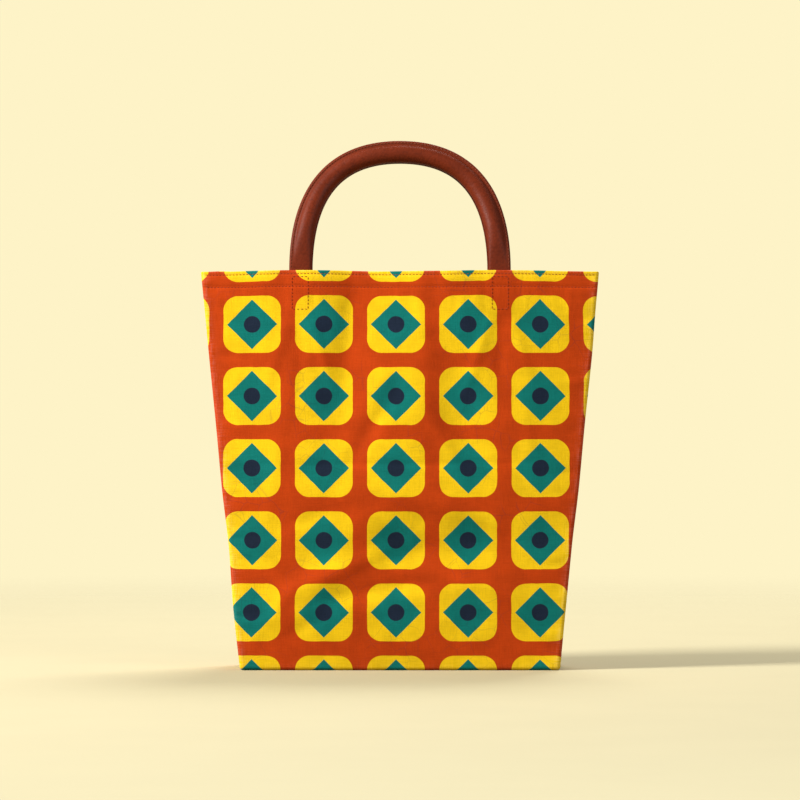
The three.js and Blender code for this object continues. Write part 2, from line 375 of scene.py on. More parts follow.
def relief(x, z, rows):
    """Sum of bell-shaped ridges and dents: each falls off as exp(-a^2 - c^2) along and across its line."""
    total = 0.0
    for fold in rows:
        turn = np.radians(fold.angle)
        right, up = x - fold.x * MM, z - fold.z * MM
        along = (right * np.cos(turn) + up * np.sin(turn)) / (fold.along * MM)
        across = (up * np.cos(turn) - right * np.sin(turn)) / (fold.across * MM)
        total = total + fold.height * MM * np.exp(-(along**2) - across**2)
    return total


def pucker(beside, along, uneven, seed):
    """Ripples along a seam: they swell to full height at the pucker's reach from it and die out beyond."""
    away = np.clip(beside, 0.0, None) / PUCKER_REACH
    return away * np.exp(1 - away) * soft_noise(uneven, along, 0.0, seed)


def seam_ripples(beside, across, z, seed):
    """Puckers up the seams on both sides of a sheet, taken from two stretches of one noise."""
    return pucker(beside, z + np.sign(across), SEAM_PUCKER, seed)


def half_width(body, z):
    """Half the bag's width at a height: the sides are straight lines."""
    return between(body.base_width, body.mouth_width, z / body.height) / 2


def half_depth(body, z):
    """Half the depth between the panels' side edges: it closes with the square of the height."""
    rise = (z - body.edge_radius) / (body.height - body.edge_radius)
    return between(body.base_depth, body.mouth_depth, rise**2) / 2


def panel_reach(body, z):
    """Half the width of a panel's face, up to where its side edges begin to turn back."""
    return half_width(body, z) - body.edge_radius


def gusset_reach(body, z):
    """Half the depth of a gusset, between the panels' turned edges."""
    return half_depth(body, z) - body.edge_radius


def seam_room(body):
    """Room that a seam takes beside a cut edge: its gap and the edge's half-round rim."""
    return body.seam_gap + body.cloth / 2


def bow(body, z):
    """How far a panel's middle stands out: evenly more towards the mouth, plus half a sine wave as belly."""
    part = np.clip(z / body.height, 0.0, 1.0)
    return body.mouth_bow * part + body.belly * np.sin(np.pi * part**body.belly_low)


def inside_edges(body, x, z):
    """1 on a panel's middle line, falling with the square of the distance to 0 at its sewn edges."""
    return np.clip(1 - (x / panel_reach(body, z)) ** 2, 0.0, 1.0)


def above_base(body, z):
    """0 at the base, where the cloth is held flat, and 1 where its folds have their full height."""
    return smooth(z / body.fold_fade)


def panel_face(body, x, z):
    """Distance of a panel's outer face from the bag's middle plane, with its bow and its main folds."""
    folds = above_base(body, z) * relief(x, z, FOLDS)
    return half_depth(body, z) + inside_edges(body, x, z) * (bow(body, z) + folds)


def hem_share(body, z):
    """1 in the hem, where the cloth lies double, and 0 below it."""
    return smooth((z - body.height + body.hem_height) / HEM_STEP + 0.5)


def wall_depth(body, z):
    """Depth of a wall's inner face behind its outer face."""
    return between(body.cloth, body.hem_cloth, hem_share(body, z))


def stitch_rows(body):
    """Heights of the hem's two rows of stitches: above its turned edge and below the mouth's edge."""
    return body.height - body.hem_height + HEM_ROW_LOW, body.height - HEM_ROW_HIGH


def hem_skin(body, along, z):
    """Relief of a hem's outer face: a groove along each row of stitches, a swell between, and puckers."""
    low, high = stitch_rows(body)
    grooves = sum(np.exp(-(((z - row) / GROOVE_WIDTH) ** 2)) for row in (low, high))
    swell = smooth((z - low) / HEM_SWELL_EDGE) * smooth((high - z) / HEM_SWELL_EDGE)
    return HEM_SWELL * swell - GROOVE_DEPTH * grooves + pucker(low - z, along, HEM_PUCKER, HEM_SEED)


def on_tab(body, handle, x, z, margin):
    """1 over a handle's tabs, fading to 0 over a margin around them."""
    beside = np.abs(np.abs(x) - handle.spread / 2) - handle.width / 2
    below = body.height - handle.tab_length - z
    return 1 - smooth(np.maximum(beside, below) / margin)


def panel_lie(body, handle, half, x, z):
    """Distance of a panel's outer face with the fine relief that both faces share.

    The relief is creases, an uneven lie and puckers along the side seams, and it is calm over the tabs.
    """
    fine = uneven_lie(PANEL_LIE, x, z, half.panel_seed) + relief(half.way * x, z, CREASES)
    beside = panel_reach(body, z) - np.abs(x)
    ripples = seam_ripples(beside, x, z, half.panel_seed + len(PANEL_LIE))
    lie = inside_edges(body, x, z) * above_base(body, z) * fine + ripples
    return panel_face(body, x, z) + lie * (1 - on_tab(body, handle, x, z, TAB_CALM))


def panel_skin(body, handle, x, z):
    """Relief of a panel's outer face alone: its stitched hem, and the tabs pressing through from behind."""
    return hem_skin(body, x, z) + TAB_PRESS * on_tab(body, handle, x, z, TAB_PRESS_EDGE)


def panel_outside(body, handle, half, x, z):
    """Distance of a panel's outer face."""
    return panel_lie(body, handle, half, x, z) + panel_skin(body, handle, x, z)


def panel_inside(body, handle, half, x, z):
    """Distance of a panel's inner face."""
    return panel_lie(body, handle, half, x, z) - wall_depth(body, z)


def gusset_face(body, y, z):
    """Place of the right gusset's outer face along X: two flanks that meet in a rounded inward crease.

    The crease is as deep as the strip's cut width leaves over between the panels.
    """
    deep = np.sqrt(np.clip((body.base_depth / 2) ** 2 - half_depth(body, z) ** 2, 0.0, None))
    soft = body.crease_softness
    rounded = (np.hypot(y / gusset_reach(body, z), soft) - soft) / (np.hypot(1.0, soft) - soft)
    return half_width(body, z) - deep * (1 - rounded)


def gusset_lie(body, half, y, z):
    """Place of the right gusset's outer face with an uneven lie and puckers along its two seams."""
    beside = gusset_reach(body, z) - np.abs(y)
    ripples = seam_ripples(beside, y, z, half.gusset_seed + len(GUSSET_LIE))
    lie = smooth(beside / GUSSET_CALM) * uneven_lie(GUSSET_LIE, y, z, half.gusset_seed) + ripples
    return gusset_face(body, y, z) + above_base(body, z) * lie


def gusset_outside(body, half, y, z):
    """Place of the right gusset's outer face with its stitched hem."""
    return gusset_lie(body, half, y, z) + hem_skin(body, y, z)


def gusset_slant(body, y, z):
    """Secant of the slope of a gusset's flank, by which its wall is deeper along X than across itself."""
    return np.hypot(1.0, slope(lambda place: gusset_face(body, place, z), y))


def gusset_inside(body, half, y, z):
    """Place of the right gusset's inner face along X."""
    return gusset_lie(body, half, y, z) - wall_depth(body, z) * gusset_slant(body, y, z)


def edge_turn(body):
    """How far a turned edge goes round: a quarter circle, less its half-round rim."""
    return np.pi / 2 - body.cloth / 2 / body.edge_radius


def wall_rows(body):
    """Heights and turns of a wall's rows, from its turned base edge to the mouth, as two columns.

    The rows lie close where the hem's inner layer ends, and stop short of the rims by their round noses.
    """
    hem = body.height - body.hem_height
    edge = hem + np.linspace(-HEM_EDGE_REACH, HEM_EDGE_REACH, HEM_EDGE_ROWS)
    wall = np.linspace(body.edge_radius, edge[0], WALL_ROWS)[1:-1]
    top = np.linspace(edge[-1], body.height - body.hem_cloth / 2, HEM_STEPS)[1:]
    heights = np.concatenate([np.full(TURN_STEPS, body.edge_radius), wall, edge, top])
    turn = np.pad(np.linspace(edge_turn(body), 0.0, TURN_STEPS), (0, len(heights) - TURN_STEPS))
    return heights[:, None], turn[:, None]


# A wall's two faces as grids of points, the place of each point on the flat cloth, and how worn and how far
# on the reverse side of the cloth it is.
Wall = namedtuple("Wall", "outer inner outer_spread inner_spread wear reverse")


def flat_spread(body, across, z, turn):
    """Places on the flat cloth of a wall's outer and inner points: the hem goes on over the mouth's edge."""
    up = z - body.edge_radius * turn
    over = np.where(hem_share(body, z) > 0.5, 2 * body.height - up, up)
    return together(across, up), together(across, over)


def edge_wear(away):
    """How worn the cloth is: 1 on an edge, dying out with the distance from it."""
    return np.exp(-np.clip(away, 0.0, None) / WEAR_REACH)


def panel_wall(body, handle, half):
    """A panel as it faces the front: a bowed face whose side and base edges turn back by a quarter circle.

    A point is the core sheet's point plus the edge radius, less the depth, along a direction that turns with
    the column and the row.
    """
    z, turn = wall_rows(body)
    roll = np.linspace(0.0, edge_turn(body), TURN_STEPS)[1:]
    column = np.pad(np.linspace(-1.0, 1.0, PANEL_COLUMNS), len(roll), mode="edge")
    column_turn = np.concatenate([-roll[::-1], np.zeros(PANEL_COLUMNS), roll])
    x = column * panel_reach(body, z)

    def grid(distance, depth):
        radius = body.edge_radius - depth
        forward = np.cos(column_turn) * radius
        y = body.edge_radius - distance - forward * np.cos(turn)
        return together(x + np.sin(column_turn) * radius, y, z - forward * np.sin(turn))

    lie = panel_lie(body, handle, half, x, z)
    skin = panel_skin(body, handle, x, z) * np.cos(column_turn)
    beside = panel_reach(body, z) - np.abs(x)
    return Wall(
        grid(lie + skin, 0.0),
        grid(lie, wall_depth(body, z)),
        *flat_spread(body, x + body.edge_radius * column_turn, z, turn),
        wear=edge_wear(np.minimum(beside, np.minimum(z, body.height - z))),
        reverse=1 - hem_share(body, z),
    )


def gusset_wall(body, half):
    """A gusset as it lies on the right: it runs between the panels' edges and curves under to the base."""
    z, turn = wall_rows(body)
    column = np.linspace(-1.0, 1.0, GUSSET_COLUMNS)
    y = column * (gusset_reach(body, z) - seam_room(body))

    def grid(place, depth):
        radius = body.edge_radius - depth
        return together(place - radius * (1 - np.cos(turn)), y, z - radius * np.sin(turn))

    slant = np.where(turn > 0, 1.0, gusset_slant(body, y, z))
    depth = wall_depth(body, z)
    return Wall(
        grid(gusset_outside(body, half, y, z), 0.0),
        grid(gusset_lie(body, half, y, z) - depth * slant, depth),
        *flat_spread(body, column * (body.base_depth / 2 - body.edge_radius), z, turn),
        wear=edge_wear(np.minimum(z, body.height - z)),
        reverse=1 - hem_share(body, z),
    )


def base_wall(body):
    """The base: two flat grids of points, the upper one a little uneven."""
    reaches = (panel_reach, gusset_reach)
    half_x, half_y = (reach(body, body.edge_radius) - seam_room(body) for reach in reaches)
    x = np.linspace(-half_x, half_x, BASE_COLUMNS)
    y = np.linspace(half_y, -half_y, BASE_ROWS)[:, None]
    away = np.minimum(half_x - np.abs(x), half_y - np.abs(y))
    lift = smooth(away / BASE_CALM) * (BASE_LIE.height + soft_noise(BASE_LIE, x, y, BASE_SEED))
    under, upper = together(x, y, 0.0), together(x, y, body.cloth + lift)
    spread = together(x, y)
    return Wall(under, upper, spread, spread, wear=edge_wear(away), reverse=1.0)


def ring_around(grid):
    """A grid's outline as one closed row: along the first row, up the last column, back and down."""
    return np.concatenate([grid[0], grid[1:, -1], grid[-1, -2::-1], grid[-2:0:-1, 0]])


def outward_from(grid):
    """Unit directions that point out of a grid's outline along its surface. A corner's is halfway."""
    out = np.zeros_like(grid)
    for edge, inside in ((0, 1), (-1, -2)):
        out[edge] += unit(grid[edge] - grid[inside])
        out[:, edge] += unit(grid[:, edge] - grid[:, inside])
    return unit(ring_around(out))


def numbered(rows, columns):
    """The numbers of a grid's points, which are listed row by row."""
    return np.arange(rows * columns).reshape(rows, columns)


def grid_quads(index):
    """Quads of a grid of numbered points, whose columns run right and rows run up, seen from outside."""
    corners = index[:-1, :-1], index[:-1, 1:], index[1:, 1:], index[1:, :-1]
    return np.stack(corners, axis=-1).reshape(-1, 4)


def ring_quads(rings):
    """Quads between closed rows of numbered points, each row running on the same way round."""
    after = np.roll(rings, -1, axis=1)
    return np.stack([rings[:-1], rings[1:], after[1:], after[:-1]], axis=-1).reshape(-1, 4)


# A closed piece of cloth: its points and faces, and what a wall holds for each point
Sewn = namedtuple("Sewn", "points quads spread wear reverse")


def closed_cloth(wall, nose, top_nose, start):
    """A closed piece of cloth: both faces of a wall, and a half-round rim from one to the other.

    A rim point goes from the outer to the inner face by half of 1 less a cosine, and out by its nose times a
    sine. The print's motifs are counted from the start on the flat cloth.
    """
    index = numbered(*wall.outer.shape[:2])
    count = index.size
    outline = ring_around(index)
    noses = np.full((*index.shape, 1), nose)
    noses[-1] = top_nose
    turn = np.linspace(0.0, np.pi, RIM_STEPS + 1)[1:-1, None, None]
    over = (1 - np.cos(turn)) / 2
    out = outward_from(wall.outer) * ring_around(noses) * np.sin(turn)
    rim = between(ring_around(wall.outer), ring_around(wall.inner), over) + out
    rim_spread = between(ring_around(wall.outer_spread), ring_around(wall.inner_spread), over)
    rim_index = 2 * count + numbered(*rim.shape[:2])
    rim_quads = ring_quads(np.concatenate([outline[None], rim_index, count + outline[None]]))
    faces = grid_quads(index)
    spreads = wall.outer_spread, wall.inner_spread, rim_spread
    wear, reverse = (np.broadcast_to(part, index.shape).ravel() for part in (wall.wear, wall.reverse))
    return Sewn(
        points=np.concatenate([part.reshape(-1, 3) for part in (wall.outer, wall.inner, rim)]),
        quads=np.concatenate([faces, faces[:, ::-1] + count, rim_quads]),
        spread=np.concatenate([part.reshape(-1, 2) for part in spreads]) - np.array(start),
        wear=np.concatenate([wear, np.zeros(count), np.ones(rim_index.size)]),
        reverse=np.concatenate([np.zeros(count), reverse, np.zeros(rim_index.size)]),
    )


def placed(half, points):
    """Points of the front half where they are, or turned half round the bag's upright middle line."""
    return points * np.array([half.way, half.way, 1])


def quarter_turned(points):
    """Points turned by a quarter round the upright axis, which carries a wall facing -Y to one facing +X."""
    return together(-points[..., 1], points[..., 0], points[..., 2])


def settled(body, handle, points):
    """Points of the bag moved as it settles: its sides waver, and its mouth dips between the stiff tabs.

    A side moves by noise up the bag, which grows with the cube of the distance from the middle. The mouth
    dips by a squared cosine across the bag, which is 0 at the tabs, and the dip dies out away from it.
    """
    x, y, z = points.T
    up = np.clip(z, 0.0, body.height)
    toward_side = np.clip(x / half_width(body, up), -1.0, 1.0) ** 3
    waver = above_base(body, up) * soft_noise(SIDE_WAVER, up, np.sign(x) * body.height, SIDE_SEED)
    near_mouth = smooth(1 - np.abs(body.height - z) / MOUTH_DIP_REACH)
    wave = MOUTH_DIP + soft_noise(MOUTH_WAVE, x, y * MOUTH_WAVE_DEPTHWISE, MOUTH_SEED)
    dip = near_mouth * wave * np.cos(np.pi * x / handle.spread) ** 2
    return together(x + waver * toward_side, y, z - dip)


def new_object(name, data):
    """An object at the origin, in the scene."""
    made = bpy.data.objects.new(name, data)
    bpy.context.scene.collection.objects.link(made)
    return made


def new_mesh(name, points, faces, material):
    """An object at the origin with a smooth mesh."""
    mesh = bpy.data.meshes.new(name)
    mesh.from_pydata(points.tolist(), [], faces)
    if mesh.validate():
        raise RuntimeError(f"{name} has broken faces")
    mesh.shade_smooth()
    mesh.materials.append(material)
    return new_object(name, mesh)


def new_piece(name, points, faces, material):
    """A piece of the bag, settled with it, that rides on its body."""
    scene = bpy.context.scene
    piece = new_mesh(name, settled(scene.tote_body, scene.tote_handle, points), faces, material)
    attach(piece, BODY)
    return piece


def set_values(piece, name, values):
    """A number for each of a piece's points, which its material reads."""
    piece.data.attributes.new(name, "FLOAT", "POINT").data.foreach_set("value", values)


def new_cloth(name, node, half, sewn):
    """A cloth piece that stands for a node, on its half of the bag, with its flat cloth as a UV map."""
    cotton = bpy.data.materials.get(COTTON) or printed_cotton(bpy.context.scene.tote_print)
    piece = new_piece(name, placed(half, sewn.points), sewn.quads.tolist(), cotton)
    layer = piece.data.uv_layers.new(name="cloth")
    layer.data.foreach_set("uv", sewn.spread[sewn.quads.ravel()].ravel())
    set_values(piece, "wear", sewn.wear)
    set_values(piece, "reverse", sewn.reverse)
    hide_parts(node)
    return piece


def new_wall(node, half, wall, start_x):
    """A panel or a gusset, whose rim is as thick as the hem at the mouth."""
    scene = bpy.context.scene
    body, start_z = scene.tote_body, scene.tote_print.start_z
    sewn = closed_cloth(wall, body.cloth / 2, body.hem_cloth / 2, (start_x, start_z))
    return new_cloth(f"{node}_cloth", node, half, sewn)


def strap_depth(body, handle, x, z):
    """Distance of the strap's middle from the bag's middle plane.

    Inside the bag it lies against the hem and the cloth below. Above the mouth it leans in by a smooth step.
    """
    root = np.minimum(z, body.height)
    below_hem = body.height - body.hem_height - root
    on_hem = smooth((TAB_BEND_LOW - below_hem) / (TAB_BEND_LOW - TAB_BEND_HIGH))
    behind = between(body.cloth, body.hem_cloth, on_hem) + body.seam_gap
    seat = panel_face(body, np.sign(x) * handle.spread / 2, root) - behind - handle.tab_thickness / 2
    return between(seat, handle.top_offset, smooth((z - body.height) / handle.rise))


def tab_slope(body, tab):
    """Slope of the panel across the bag at the mouth, behind a tab."""
    return slope(lambda x: panel_face(body, x, body.height), tab)


def tab_inside(body, handle, tab, x, z):
    """Distance of a tab's inner face from the middle plane: it slopes as the panel does at the mouth."""
    return strap_depth(body, handle, tab, z) - handle.tab_thickness / 2 + tab_slope(body, tab) * (x - tab)


def strap_line(body, handle):
    """The strap's middle line, and how far each point is along it.

    Seen from the front it is a straight tab, a cubic curve up to the top, its mirror image, and a tab. The
    points are evenly spaced.
    """
    half = handle.spread / 2
    top = body.height + handle.rise
    bend = body.height + handle.arm
    knots = np.array([(-half, body.height), (-half, bend), (-handle.arm, top), (0.0, top)])
    t = np.linspace(0.0, 1.0, STRAP_RINGS)
    rising = together((1 - t) ** 3, 3 * (1 - t) ** 2 * t, 3 * (1 - t) * t**2, t**3) @ knots
    tab = np.array([[-half, body.height - handle.tab_length]])
    mirror = np.array([-1.0, 1.0])
    line = np.concatenate([tab, rising, rising[-2::-1] * mirror, tab * mirror])
    walked = walked_along(line)
    even = np.linspace(0.0, walked[-1], STRAP_RINGS)
    x, z = along_line(line, walked, even).T
    return together(x, -strap_depth(body, handle, x, z), z), even


def strap_thickness(handle, across, filled):
    """Half the strap's thickness across it: a round-edged strip, filled to an oval beside its seam."""
    half, core = handle.width / 2, handle.grip_core / 2
    strip = handle.tab_thickness / 2 * np.sqrt(np.clip(1 - (across / half) ** STRIP_SQUARENESS, 0.0, 1.0))
    oval = handle.grip_thickness / 2 * np.sqrt(np.clip(1 - ((across - half + core) / core) ** 2, 0.0, 1.0))
    return between(strip, np.maximum(strip, oval), filled)


StrapFrame = namedtuple("StrapFrame", "place walked front outward filled")


def strap_frame(body, handle):
    """Where the strap runs, which way its front and its outer edge face, and how far it is filled."""
    place, walked = strap_line(body, handle)
    along = unit(np.gradient(place, axis=0))
    above = place[:, 2] - body.height
    filled = smooth((above - handle.fill_start) / (handle.fill_end - handle.fill_start))
    lean = (1 - filled) * tab_slope(body, np.sign(place[:, 0]) * handle.spread / 2)
    front = square_to(along, together(-lean, -1.0, 0.0))
    return StrapFrame(place, walked, front, unit(np.cross(along, front)), filled[:, None])


def strap_solid(body, handle):
    """The front handle's points and faces: its section carried along its middle line, with rounded ends.

    It also gives how much each point is held: most at the top of the arch, on its outer side.
    """
    strap = strap_frame(body, handle)
    half = handle.width / 2
    turn = around(STRAP_POINTS)
    full = -half * np.cos(turn)
    side = np.where(turn < np.pi, 1.0, -1.0)
    to_end = np.minimum(strap.walked, strap.walked[-1] - strap.walked)[:, None]
    corner = handle.tab_corner
    missing = corner - np.sqrt(corner**2 - np.clip(corner - to_end, 0.0, corner) ** 2)
    across = full * (1 - missing / half)
    ripple = soft_noise(STRAP_RIPPLE, strap.walked[:, None], 0.0, STRAP_SEED)
    bulge = strap_thickness(handle, full, strap.filled)
    thick = bulge + ripple * strap.filled * smooth(bulge / half) * smooth(1 - full / half)
    thick = thick * between(TAB_END_SHARE, 1.0, smooth(to_end / TAB_END_REACH))
    points = strap.place[:, None] + strap.outward[:, None] * across[..., None]
    points = points + strap.front[:, None] * (side * thick)[..., None]
    rings = numbered(*across.shape)
    faces = ring_quads(rings)[:, ::-1].tolist() + [rings[0, ::-1].tolist(), rings[-1].tolist()]
    held = smooth((strap.place[:, 2:] - body.height) / handle.rise) * smooth((full + half) / handle.width)
    return points.reshape(-1, 3), faces, held.ravel()


# A line for stitches: its points, and the way that the cloth or leather faces there
Seam = namedtuple("Seam", "places normals")


def seam_on(distance, across, z, toward=1.0):
    """A line of points on a wall that faces -Y, with the wall's normals from its slopes."""
    slope_x = slope(lambda place: distance(place, z), across)
    slope_z = slope(lambda height: distance(across, height), z)
    places = together(across, -distance(across, z), z)
    return Seam(places, toward * unit(together(-slope_x, -1.0, -slope_z)))


def stitches(seam):
    """A run of stitches as one mesh: each is a thread that rises from the cloth and dips back at both ends.

    A point is the stitch's middle, plus a share of its half length along the seam, plus the thread's radius
    around it. The thread thins with the sixth power of that share and sinks with its fourth power.
    """
    walked = walked_along(seam.places)
    count = int(walked[-1] / STITCH_PITCH)
    middle = (np.arange(count) + 0.5) * walked[-1] / count
    half = STITCH_LENGTH / 2
    start, end = (along_line(seam.places, walked, middle + shift) for shift in (-half, half))
    along = unit(end - start)
    up = square_to(along, along_line(seam.normals, walked, middle))
    reach = np.array(STITCH_RINGS)[:, None]
    plump = THREAD_RADIUS * (1 - THREAD_TAPER * reach**6)
    rise = THREAD_RADIUS * (THREAD_RISE - THREAD_DIP * reach**4)
    turn = around(THREAD_SIDES)
    offsets = (
        (along, reach * half),
        (np.cross(along, up), plump * np.cos(turn)),
        (up, plump * np.sin(turn) + rise),
    )
    points = along_line(seam.places, walked, middle)[:, None, None]
    points = points + sum(way[:, None, None] * offset[..., None] for way, offset in offsets)
    rings = numbered(reach.size, turn.size)
    quads = np.concatenate([ring_quads(rings), rings[0][THREAD_END], rings[-1, ::-1][THREAD_END]])
    quads = quads + rings.size * np.arange(count)[:, None, None]
    return points.reshape(-1, 3), quads.reshape(-1, 4)


def joined(runs):
    """Several meshes of quads as one."""
    starts = np.cumsum([0] + [len(points) for points, _ in runs[:-1]])
    quads = [faces + start for (_, faces), start in zip(runs, starts)]
    return np.concatenate([points for points, _ in runs]), np.concatenate(quads).tolist()


def stitched(seam, halves=HALVES):
    """A seam's stitches on each of the given halves of the bag."""
    points, quads = stitches(seam)
    return [(placed(half, points), quads) for half in halves]


def hem_stitches(body, handle):
    """Two rows of stitches around the mouth, on the outer and the inner face of each panel and gusset."""
    runs = []
    for row in stitch_rows(body):
        ends = panel_reach(body, row), gusset_reach(body, row) - HEM_ROW_END
        x, y = (np.linspace(-end, end, SEAM_POINTS) for end in ends)
        for half in HALVES:
            for face, toward in ((panel_outside, 1.0), (panel_inside, -1.0)):
                runs += stitched(seam_on(partial(face, body, handle, half), x, row, toward), [half])
            for face, toward in ((gusset_outside, 1.0), (gusset_inside, -1.0)):
                seam = seam_on(partial(face, body, half), y, row, toward)
                runs += stitched(Seam(*map(quarter_turned, seam)), [half])
    return runs


def tab_stitches(body, handle):
    """A box of stitches for each tab, on the panel's outer face and on the tab's inner face."""
    half = handle.width / 2 - TAB_MARGIN
    low, high = body.height - handle.tab_length + TAB_MARGIN, stitch_rows(body)[1] - TAB_MARGIN
    corners = ((-half, low), (half, low), (half, high), (-half, high), (-half, low))
    outside = partial(panel_outside, body, handle, HALVES[0])
    runs = []
    for tab in (-handle.spread / 2, handle.spread / 2):
        inside = partial(tab_inside, body, handle, tab)
        for (x0, z0), (x1, z1) in zip(corners, corners[1:]):
            x, z = np.linspace(tab + x0, tab + x1, SEAM_POINTS), np.linspace(z0, z1, SEAM_POINTS)
            runs += stitched(seam_on(outside, x, z)) + stitched(seam_on(inside, x, z, -1.0))
    return runs


def handle_stitches(body, handle):
    """A row of stitches on each face of the handles' stitched edge."""
    strap = strap_frame(body, handle)
    above = strap.place[:, 2] > body.height + handle.fill_start
    across = STRAP_MARGIN - handle.width / 2
    thick = strap_thickness(handle, across, strap.filled)
    runs = []
    for side in (1.0, -1.0):
        places = strap.place + strap.outward * across + strap.front * thick * side
        runs += stitched(Seam(places[above], strap.front[above] * side))
    return runs


# Carries a range of a noise or a distance to a range of colour, roughness or strength
Carry = namedtuple("Carry", "low high start end")
DYE_MOTTLE = Carry(0.3, 0.7, 0.9, 1.06)
THREAD_STREAK = Carry(0.7, 1.3, 0.94, 1.05)
CLOTH_ROUGHNESS = Carry(0.7, 1.3, 0.9, 0.76)
RUBBED_THREADS = Carry(0.9, 1.15, 0.0, 0.4)
WAX_CRACK = Carry(0.0, 0.03, 1.0, 0.0)
CRACKED_WAX = Carry(0.5, 0.62, 0.0, 0.2)
LEATHER_CLOUD = Carry(0.3, 0.7, 0.0, 1.0)
GRAIN_VALLEY = Carry(0.35, 0.75, 0.0, 0.5)
PALE_PORE = Carry(0.55, 0.8, 0.0, 0.4)
LEATHER_ROUGHNESS = Carry(0.3, 0.7, 0.5, 0.66)
FIBRE_SHADE = Carry(0.35, 0.65, 0.0, 1.0)
FIBRE_ROUGHNESS = Carry(0.35, 0.65, 0.7, 0.55)
FLOOR_DUST = Carry(0.3, 0.7, 0.985, 1.0)

# Widths of the noise patches in the materials, and how far they bend and stretch
WANDER_PATCH = 11 * MM
DYE_PATCH = 26 * MM
CRACK_BEND_PATCH = 20 * MM
CRACKED_PATCH = 60 * MM
CLOUD_PATCH = 24 * MM
FIBRE_PATCH = 0.5 * MM
DUST_PATCH = 120 * MM
CRACK_BEND = 8 * MM
SLUB_STRETCH = 0.06

# Shades of the cloth's reverse and rubbed threads, of the leather and of its polish where hands hold it
REVERSE_FADE = {"Saturation": 0.82, "Value": 0.86}
RUBBED_FADE = {"Saturation": 0.85, "Value": 1.15}
CLOUD_DARK = 0.74
CLOUD_LIGHT = 0.92
VALLEY_DARK = 0.5
PORE_LIGHT = 1.2
THREAD_DARK = 0.7
GRIP_POLISH = 0.14

# A bump's depth and strength
WEAVE_BUMP = (0.06 * MM, 0.6)
SLUB_BUMP = (0.22 * MM, 0.7)
GRAIN_BUMP = (0.3 * MM, 0.6)
PORE_BUMP = (0.12 * MM, 0.5)
FIBRE_BUMP = (0.1 * MM, 0.6)


class Finish:
    """The shader nodes of a material or a world in the making, with short names for those it uses."""

    def __init__(self, holder):
        holder.use_nodes = True
        self.holder = holder
        self.tree = holder.node_tree
        self.tree.nodes.clear()

    def node(self, kind, sockets=None, **settings):
        """A node with its settings, and each named or numbered socket set or linked."""
        made = self.tree.nodes.new(kind)
        for setting, value in settings.items():
            setattr(made, setting, value)
        for socket, value in (sockets or {}).items():
            if isinstance(value, NodeSocket):
                self.tree.links.new(value, made.inputs[socket])
            else:
                made.inputs[socket].default_value = value
        return made

    def place(self):
        """Places in the bag's own frame."""
        return self.node("ShaderNodeTexCoord").outputs["Object"]

    def by_camera(self):
        """1 for what the camera itself sees, and 0 for light that falls on something else."""
        return self.node("ShaderNodeLightPath").outputs["Is Camera Ray"]

    def math(self, operation, *values):
        """The result of a calculation with numbers."""
        return self.node("ShaderNodeMath", dict(enumerate(values)), operation=operation).outputs[0]

    def vector(self, operation, *values):
        """The result of a calculation with vectors."""
        made = self.node("ShaderNodeVectorMath", dict(enumerate(values)), operation=operation)
        return made.outputs["Value" if operation in ("LENGTH", "DOT_PRODUCT") else "Vector"]

    def value(self, name):
        """A number that the mesh holds for each of its points."""
        return self.node("ShaderNodeAttribute", attribute_name=name).outputs["Fac"]

    def noise(self, place, size, detail=2.0, output="Fac"):
        """A noise whose patches have about the given size."""
        sockets = {"Vector": place, "Scale": 1 / size, "Detail": detail}
        return self.node("ShaderNodeTexNoise", sockets).outputs[output]

    def cells(self, place, size, feature):
        """Distances within cells of about the given size."""
        sockets = {"Vector": place, "Scale": 1 / size}
        return self.node("ShaderNodeTexVoronoi", sockets, feature=feature).outputs["Distance"]

    def band(self, value, carry):
        """A value carried smoothly from one range to another."""
        names = "From Min", "From Max", "To Min", "To Max"
        sockets = {"Value": value, **dict(zip(names, carry))}
        return self.node("ShaderNodeMapRange", sockets, interpolation_type="SMOOTHSTEP").outputs[0]

    def mix(self, factor, first, second):
        """Two colours mixed by a factor: sockets 6 and 7 and output 2 of the mix node hold colours."""
        return self.node("ShaderNodeMix", {0: factor, 6: first, 7: second}, data_type="RGBA").outputs[2]

    def tinted(self, tone, **sockets):
        """A colour with its saturation or value changed."""
        return self.node("ShaderNodeHueSaturation", {"Color": tone, **sockets}).outputs[0]

    def bump(self, height, depth, strength, **sockets):
        """A normal that is tilted by a height."""
        sockets = {"Height": height, "Distance": depth, "Strength": strength, **sockets}
        return self.node("ShaderNodeBump", sockets).outputs[0]

    def surface(self, sockets):
        """The finished material."""
        shader = self.node("ShaderNodeBsdfPrincipled", sockets)
        self.node("ShaderNodeOutputMaterial", {"Surface": shader.outputs[0]})
        return self.holder


def motifs(finish, place, dye):
    """The print: in each square of the repeat a rounded square, a diamond and a disc, one upon the other.

    Each mask is a distance: beyond the square's straight sides, the sum of both sides for the diamond, and
    the radius for the disc.
    """
    half = dye.repeat / 2
    cell = finish.vector("WRAP", place, (half, half, 1.0), (-half, -half, -1.0))
    folded = finish.vector("ABSOLUTE", cell)
    core = dye.square / 2 - dye.corner
    beyond = finish.vector("MAXIMUM", finish.vector("SUBTRACT", folded, (core, core, 0.0)), (0.0, 0.0, 0.0))
    layers = (
        (finish.vector("LENGTH", beyond), dye.corner, dye.square_tone),
        (finish.vector("DOT_PRODUCT", folded, (1.0, 1.0, 0.0)), dye.diamond, dye.diamond_tone),
        (finish.vector("LENGTH", cell), dye.disc, dye.disc_tone),
    )
    tone = dye.ground
    for distance, size, upper in layers:
        mask = finish.band(distance, Carry(size - dye.bleed, size + dye.bleed, 1.0, 0.0))
        tone = finish.mix(mask, tone, upper)
    return tone


